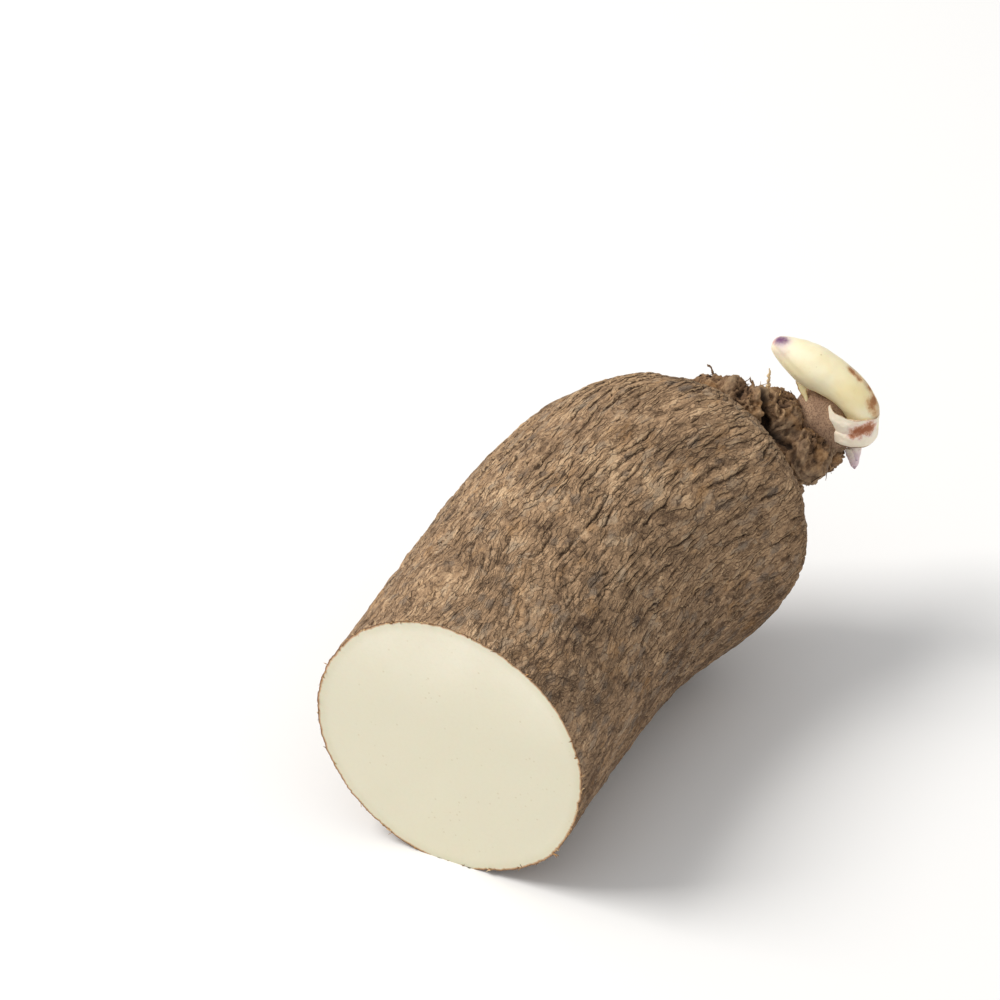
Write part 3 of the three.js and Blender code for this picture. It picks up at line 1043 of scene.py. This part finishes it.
def makeSprout(finish):
    # a round profile along the bent line; a shallow fold runs along it, and bruises sink a little
    t = 1 - (1 - np.linspace(0, 1, sprout["rows"] + 2)[1:-1]) ** 1.35
    path = smoothPath(sprout["line"], 2000)[np.round(t * 1999).astype(int)]
    half = sproutHalf(t)
    angle = evenAngles(sprout["columns"])
    rows = sweptRows(path, np.array([0, -1, 0]), half, half, angle)
    t = t[:, None]
    fromFold = np.abs((angle[None] + 0.25 - 0.9 * (1 - t) + math.pi) % (2 * math.pi) - math.pi)
    fold = eased(t, 0.6, 0.72) * eased(t, 1.0, 0.94) * np.exp(-((fromFold / 0.15) ** 2))
    bruise = sum(nearness(rows, at, size) for at, size in sprout["bruises"])
    height = 0.35 * layeredNoise(rows, 11, 71, 2) - 0.2 * fold - 0.25 * np.minimum(bruise, 1)
    height += 0.05 * softNoise(rows, 1.8, 75)
    height *= eased(t, 1.0, 0.97)
    rows = raised(rows, height)
    mesh = closedGrids("sprout", [rows])

    def spotShare(name, stretch, radius):
        # nearness to a spot, wider along the axes whose stretch is under 1
        return nearness((rows - sprout[name]) * stretch, 0, radius)

    stain = np.max([nearness(rows, at, sprout["stainRadius"]) for at in sprout["stains"]], axis=0)
    keepNumbers(mesh, "purple", spotShare("purpleSpot", (0.7, 1, 1.3), 5.0), (0, 0.4))
    keepNumbers(mesh, "lilac", spotShare("lilacSpot", 1, 4.5), (0, 0))
    keepNumbers(mesh, "notch", spotShare("notch", (0.6, 0.8, 1.9), 1.5), (0, 0))
    keepNumbers(mesh, "bruise", bruise, (0, 0))
    keepNumbers(mesh, "stain", stain, (0, 0))
    keepNumbers(mesh, "tipShare", eased(t, 0.8, 1.0) + 0 * fold, (0, 1))
    # the fold's share, for painted shade along it
    keepNumbers(mesh, "fold", fold, (0, 0))
    return addPiece("sprout", mesh, "shoot", ["shoot"], finish)


def makeSproutFinish():
    # waxy cream with painted light high up and purple at the tip, with stains, brown bruises, painted shade
    # along a fold, a notch and specks
    f = Finish("waxy_sprout", Specular_IOR_Level=0.4, Subsurface_Weight=0.08, Subsurface_Scale=0.002)
    place = f.objectPlace()
    broad = f.noise(place, 90.0, 2)
    fine = f.noise(place, 700.0, 3, 0.6)
    tip = f.attribute("tipShare")
    purple = f.attribute("purple")
    bruise = f.attribute("bruise") + (f.noise(place, 380.0, 4, 0.7) - 0.5) * 1.5
    specks = f.cells(place, 260.0).eased(0.12, 0.05) * f.noise(place, 150.0, 1).eased(0.5, 0.6)
    skin = f.layered(
        f.blend(broad.eased(0.3, 0.7), (255, 244, 206), (253, 234, 178)),
        # painted light: paler high up
        (place.part(2).eased(0.0965, 0.1095) * 0.45, (252, 246, 218)),
        (f.attribute("lilac") * 0.4, (214, 190, 204)),
        (tip * 0.25, (240, 220, 214)),
        (purple.eased(0.06, 0.45) * 0.42, (206, 176, 198)),
        ((purple + (fine - 0.5) * 0.5).eased(0.3, 0.95) * 0.95, (104, 50, 104)),
        ((tip + (fine - 0.5) * 0.3).eased(0.93, 1.04) * 0.6, (214, 150, 142)),
        ((f.attribute("stain") + (fine - 0.5) * 0.6).eased(0.15, 0.8) * 0.55, (186, 150, 120)),
        (bruise.eased(0.1, 0.7) * 0.6, (216, 160, 96)),
        (bruise.eased(0.5, 0.95) * 0.8, (164, 100, 50)),
        (bruise.eased(0.95, 1.25) * 0.5, (112, 66, 40)),
        # painted shade along the fold
        (f.attribute("fold") * 0.12, (196, 172, 112)),
        ((f.attribute("notch") + (fine - 0.5) * 1.4).eased(0.35, 0.75) * 0.75, (134, 74, 50)),
        (specks * 0.35, (176, 132, 76)),
    )
    return f.feed(Base_Color=skin, Roughness=0.36 + broad * 0.16 + bruise.eased(0.5, 0.8) * 0.25,
                  Normal=f.bump(fine * 0.25 + broad * 0.3, 0.35, 0.3 * millimetre))


print("sprout")
makeSprout(makeSproutFinish())


# The torn white collar round its foot
collar = {
    "at": (67, 110.4, 81.0),
    "half": (8.9, 8.4, 4.3),
    "squareness": 2.8,
    "lipHeight": 7.1,
    "ragged": 0.75,
    "wall": 0.55,
    "spike": 4.6,
    "spikeAngle": 2.5,
    "drift": (1.2, 0.5),
    "flare": 0.36,
    "flareAngle": 2.6,
    "columns": 220,
    "outerRows": 60,
    "innerRows": 34,
    "bruises": [(69.3, 103.9, 84.6), (72.2, 104.6, 85.2), (74.9, 107.2, 86.0)],
    "bruiseRadius": 5.4,
}


def makeCollar(finish):
    # a cup: an ellipsoid up to a ragged lip with a spike, then back down a wall's thickness inside
    angle = evenAngles(collar["columns"])
    outer, inner = collar["outerRows"], collar["innerRows"]
    ring = np.stack([np.cos(angle) * 6, np.sin(angle) * 6, 0 * angle], -1)
    turnAway = (angle - collar["spikeAngle"] + math.pi) % (2 * math.pi) - math.pi
    spike = collar["spike"] * np.exp(-np.abs(turnAway / np.where(turnAway < 0, 0.95, 0.3)) ** 1.15)
    lip = collar["lipHeight"] + collar["ragged"] * layeredNoise(ring, 4, 81, 3, 0.6) + spike
    a, b, c = collar["half"]
    climb = np.concatenate([np.linspace(0.02, 1, outer) ** 0.8, np.linspace(1, 0.1, inner)])[:, None]
    inside = np.concatenate([np.zeros(outer), np.minimum(np.arange(inner) / 2, 1)])[:, None]
    z = -c + climb * (lip[None] + c)
    power = collar["squareness"]
    full = np.clip(1 - np.abs(np.clip(z, -c, c) / c) ** power, 0, 1) ** (1 / power)
    above = eased(z, 0, 7)
    flare = collar["flare"] * np.maximum(0, np.cos(angle - collar["flareAngle"])) * above
    reach = np.where(z > 0, np.maximum(full, 0.93 - 0.012 * z), full) + flare
    reach = np.maximum(reach - inside * collar["wall"] / a, 0.02)
    x = collar["at"][0] + a * reach * np.cos(angle) + collar["drift"][0] * above
    y = collar["at"][1] - b * reach * np.sin(angle) + collar["drift"][1] * above
    rows = np.stack([x, y, collar["at"][2] + z], -1)
    height = (0.3 * softNoise(rows, 5, 84) + 0.1 * layeredNoise(rows, 1.8, 85, 2)) * (1 - inside)
    rows = raised(rows, height)
    mesh = closedGrids("sprout_collar", [rows])
    bruise = sum(nearness(rows, at, collar["bruiseRadius"]) for at in collar["bruises"]) * 0.6
    keepNumbers(mesh, "bruise", np.minimum(bruise, 1), (0, 0))
    keepNumbers(mesh, "lowEdge", eased(z, -1.3, -2.7), (1, 0))
    keepNumbers(mesh, "lip", eased(climb, 0.93, 1.0) + 0 * z, (0, 0))
    return addPiece("sprout_collar", mesh, "torn_tissue", ["shoot_collar"], finish)


def makeCollarFinish():
    # cream, with pink to brown bruises, a lower edge that goes from yellow to dark brown, and a browned lip
    f = Finish("torn_sheath", Specular_IOR_Level=0.4, Subsurface_Weight=0.05, Subsurface_Scale=0.002)
    place = f.objectPlace()
    broad = f.noise(place, 160.0, 2)
    fine = f.noise(place, 800.0, 3, 0.65)
    bruise = f.attribute("bruise") + (f.noise(place, 300.0, 4, 0.7) - 0.5) * 1.5
    low = f.attribute("lowEdge") + (fine - 0.5) * 0.9
    skin = f.layered(
        f.blend(broad.eased(0.35, 0.65), (255, 247, 226), (255, 238, 214)),
        (bruise.eased(0.2, 0.55) * 0.45, (226, 186, 190)),
        (bruise.eased(0.42, 0.68) * 0.75, (200, 134, 88)),
        (bruise.eased(0.56, 0.88) * 0.9, (156, 84, 40)),
        (low.eased(0.25, 0.6), (176, 128, 62)),
        (low.eased(0.55, 0.85), (74, 50, 32)),
        ((f.attribute("lip") + (fine - 0.5) * 0.8).eased(0.75, 1.05) * 0.6, (186, 138, 78)),
    )
    return f.feed(Base_Color=skin, Roughness=0.4 + fine * 0.2,
                  Normal=f.bump(fine * 0.4 + broad * 0.4, 0.4, 0.4 * millimetre))


print("collar")
makeCollar(makeCollarFinish())


# The side bud under the collar. scales: how far each is shifted, its share of the line and of the half width
sideBud = {
    "line": [(66.4, 111, 79.4), (67.2, 111.6, 71.5), (68.2, 112.4, 63.8)],
    "half": 3.3,
    "scales": [((0, 0, 0), 1.0, 0.95), ((-1.7, -0.9, 0.9), 0.74, 0.72), ((2.1, -1.1, 1.0), 0.76, 0.72)],
    "rows": 44,
    "columns": 40,
}


def makeSideBud(finish):
    # three pointed scales side by side: each an oval profile carried down the line that narrows to its tip
    t = np.linspace(0, 1, sideBud["rows"])
    line = smoothPath(sideBud["line"], 100)
    made = []
    for k, (shift, share, width) in enumerate(sideBud["scales"]):
        path = line[np.round(t * share * 99).astype(int)] + np.array(shift) * (1 - 0.4 * t[:, None])
        thick = sideBud["half"] * width * (1 - t**2.2) ** 0.6 * (0.9 + 0.1 * t)
        rows = sweptRows(path, np.array([1, 0.2, 0]), thick, thick * 0.8, evenAngles(sideBud["columns"]))
        made.append(raised(rows, 0.18 * layeredNoise(rows, 1.6, 95 + k, 2)))
    mesh = closedGrids("side_bud_scales", made)
    keepNumbers(mesh, "tip", np.tile(np.append(np.repeat(t, sideBud["columns"]), [0, 1]), len(made)))
    return addPiece("side_bud_scales", mesh, "torn_tissue", ["side_bud"], finish)


def makeSideBudFinish():
    # cream to lilac towards a purple tip, with brown flecks and a brown root
    f = Finish("pale_bud", Specular_IOR_Level=0.4, Subsurface_Weight=0.05, Subsurface_Scale=0.002)
    fine = f.noise(f.objectPlace(), 600.0, 3, 0.65)
    tip = f.attribute("tip") + (fine - 0.5) * 0.35
    skin = f.layered(
        f.blend(tip.eased(0.3, 0.85), (248, 236, 216), (232, 208, 214)),
        (tip.eased(0.84, 1.02) * 0.85, (130, 84, 116)),
        (fine.eased(0.62, 0.75) * 0.5, (170, 118, 78)),
        (tip.eased(0.42, 0.3) * 0.9, (104, 74, 48)),
    )
    return f.feed(Base_Color=skin, Roughness=0.42 + fine * 0.2, Normal=f.bump(fine, 0.4, 0.3 * millimetre))


# A torn scale that leans between the sprout and the crown
tornScale = {
    "line": [(47.0, 109.6, 97.8), (48.6, 108.2, 93.6), (51.6, 106.8, 88.6)],
    "halfAcross": 2.4,
    "halfDeep": 0.32,
    "side": (0.75, 0.3, 0.55),
    "front": (0.45, -0.75, 0.45),
    "curl": 0.45,
    "setForward": 0.5,
    "rows": 40,
    "columns": 28,
}


def makeTornScale(finish):
    # a thin leaf that narrows to its tip, its edges bent back from the front by the square of how far across
    t = np.linspace(0, 1, tornScale["rows"])
    wide = tornScale["halfAcross"] * (1 - 0.9 * t) * np.minimum(1, 0.5 + 3 * t)
    angle = evenAngles(tornScale["columns"])
    rows = sweptRows(smoothPath(tornScale["line"], len(t)), np.array(tornScale["side"]), wide,
                     tornScale["halfDeep"] + 0 * t, angle)
    across = np.cos(angle)[None]
    bend = tornScale["curl"] * across**2 * wide[:, None] - tornScale["setForward"]
    rows = rows - np.array(tornScale["front"]) * bend[..., None]
    rows = rows + 0.12 * softNoise(rows, 1.4, 92)[..., None]
    mesh = closedGrids("torn_scale_leaf", [rows])
    rim = np.maximum(np.abs(across) ** 2.5, eased(t, 0.84, 1.0)[:, None])
    keepNumbers(mesh, "rim", rim, (0, 1))
    return addPiece("torn_scale_leaf", mesh, "shoot", ["torn_scale"], finish)


def makeScaleFinish():
    # yellowish cream with a brown rim
    f = Finish("curled_scale", Specular_IOR_Level=0.4, Subsurface_Weight=0.1, Subsurface_Scale=0.002)
    fine = f.noise(f.objectPlace(), 700.0, 3, 0.65)
    rim = (f.attribute("rim") + (fine - 0.5) * 0.6).eased(0.45, 0.8)
    skin = f.layered(f.blend(fine, (244, 232, 186), (226, 206, 148)), (rim * 0.85, (150, 104, 44)))
    return f.feed(Base_Color=skin, Roughness=0.5 + fine * 0.2, Normal=f.bump(fine, 0.4, 0.3 * millimetre))


# Dry rootlets and the stub of the vine: root to tip, half thickness, and seed
twigs = {
    "rootlet_1": ([(34.5, 98, 90), (33.4, 99, 95.5), (32, 100.2, 98.4)], 0.6, 101),
    "rootlet_2": ([(36, 97, 91), (34.5, 98, 96), (33.5, 98.5, 98.5)], 0.65, 102),
    "rootlet_3": ([(20, 97, 96), (18, 98.6, 98.6), (15.4, 100.4, 98.8)], 0.6, 103),
    "rootlet_4": ([(36, 102, 70), (34, 108, 71), (31, 113, 69)], 0.5, 104),
    "rootlet_5": ([(30, 100, 58), (28, 106, 55), (25, 110, 50)], 0.55, 105),
    "rootlet_6": ([(20, 99, 72), (17, 104, 74), (13, 107, 73)], 0.45, 106),
    "vine_stub": ([(38.5, 101, 92), (38, 102, 97), (37.6, 103, 101.5)], 0.8, 110),
}
stickStops = [(0.1, (150, 112, 74)), (0.5, (206, 176, 132)), (0.9, (234, 212, 172))]


def makeTwig(name, finish):
    # a thin swept oval that sways and tapers, rough all over, with a ragged end
    line, half, seed = twigs[name]
    t = np.linspace(0, 1, 60)
    ways = [np.stack([t * 9 + 5 * k, 0 * t + seed, 0 * t], -1) for k in range(3)]
    sway = np.stack([softNoise(way, 1.0, seed + k) for k, way in enumerate(ways)], -1)
    path = smoothPath(line, len(t)) + 0.5 * half * sway
    thick = half * (1 - 0.55 * t) * np.where(t > 0.94, 0.55, 1)
    rows = sweptRows(path, np.array([0.4, -1, 0.3]), thick * 1.15, thick * 0.85, evenAngles(20))
    mesh = closedGrids(name + "_twig", [raised(rows, 0.16 * layeredNoise(rows, 0.9, seed + 5, 2))])
    keepNumbers(mesh, "tone", np.full(len(mesh.vertices), 0.25 + 0.6 * ((seed * 0.37) % 1)))
    return addPiece(name + "_twig", mesh, "dry_root", [name], finish)


print("side bud, torn scale and twigs")
makeSideBud(makeSideBudFinish())
makeTornScale(makeScaleFinish())
twigFinish = makeBitFinish("dry_twigs", scraps["stops"])
stickFinish = makeBitFinish("pale_stick", stickStops)
for twigName in twigs:
    makeTwig(twigName, stickFinish if twigName == "vine_stub" else twigFinish)


# Floor, light and camera; lengths here are in metres, angles in degrees
studio = {
    "floorSize": 12.0,
    "floorColour": (0.93, 0.928, 0.922, 1),
    "skyStrength": 0.58,
    "keyPlace": (-1.9, -0.8, 2.5),
    "keyAim": (0, 0, 0.05),
    "keySize": 1.7,
    "keyPower": 84.0,
    "keyColour": (1.0, 0.98, 0.95),
    "aim": (-0.00123, -0.02621, 0.11252),
    "azimuth": 26.8,
    "elevation": 33.75,
    "distance": 1.0,
    "lens": 113.3,
    "sensorWidth": 36,
}


def makeFloor():
    # one large square under everything
    half = studio["floorSize"] / 2 / millimetre
    corners = half * np.array([[-1, -1, 0], [1, -1, 0], [1, 1, 0], [-1, 1, 0]], float)
    mesh = fillMesh("floor", corners, [np.array([[0, 1, 2, 3]])])
    floor = bpy.data.objects.new("floor", mesh)
    bpy.context.scene.collection.objects.link(floor)
    f = Finish("pale_floor", Roughness=0.9, Specular_IOR_Level=0.1, Base_Color=studio["floorColour"])
    mesh.materials.append(f.material)


def makeLights():
    # a white sky all round, and one large soft lamp high at the left
    world = bpy.data.worlds.new("studio")
    bpy.context.scene.world = world
    world.use_nodes = True
    sky = world.node_tree.nodes["Background"].inputs
    sky["Color"].default_value = (1, 1, 1, 1)
    sky["Strength"].default_value = studio["skyStrength"]
    light = bpy.data.lights.new("key", "AREA")
    light.size = studio["keySize"]
    light.energy = studio["keyPower"]
    light.color = studio["keyColour"]
    key = bpy.data.objects.new("key", light)
    key.location = studio["keyPlace"]
    towards = Vector(studio["keyAim"]) - Vector(studio["keyPlace"])
    key.rotation_euler = towards.to_track_quat("-Z", "Y").to_euler()
    bpy.context.scene.collection.objects.link(key)


def makeCamera():
    # at its distance from the aim, along the way back that its two angles give
    across, up = math.radians(studio["azimuth"]), math.radians(studio["elevation"])
    back = Vector((math.sin(across) * math.cos(up), -math.cos(across) * math.cos(up), math.sin(up)))
    camera = bpy.data.objects.new("camera", bpy.data.cameras.new("camera"))
    camera.data.lens = studio["lens"]
    camera.data.sensor_width = studio["sensorWidth"]
    camera.location = Vector(studio["aim"]) + back * studio["distance"]
    camera.rotation_euler = (-back).to_track_quat("-Z", "Y").to_euler()
    bpy.context.scene.collection.objects.link(camera)
    bpy.context.scene.camera = camera


print("studio")
makeFloor()
makeLights()
makeCamera()
bpy.context.scene.view_settings.view_transform = "Standard"
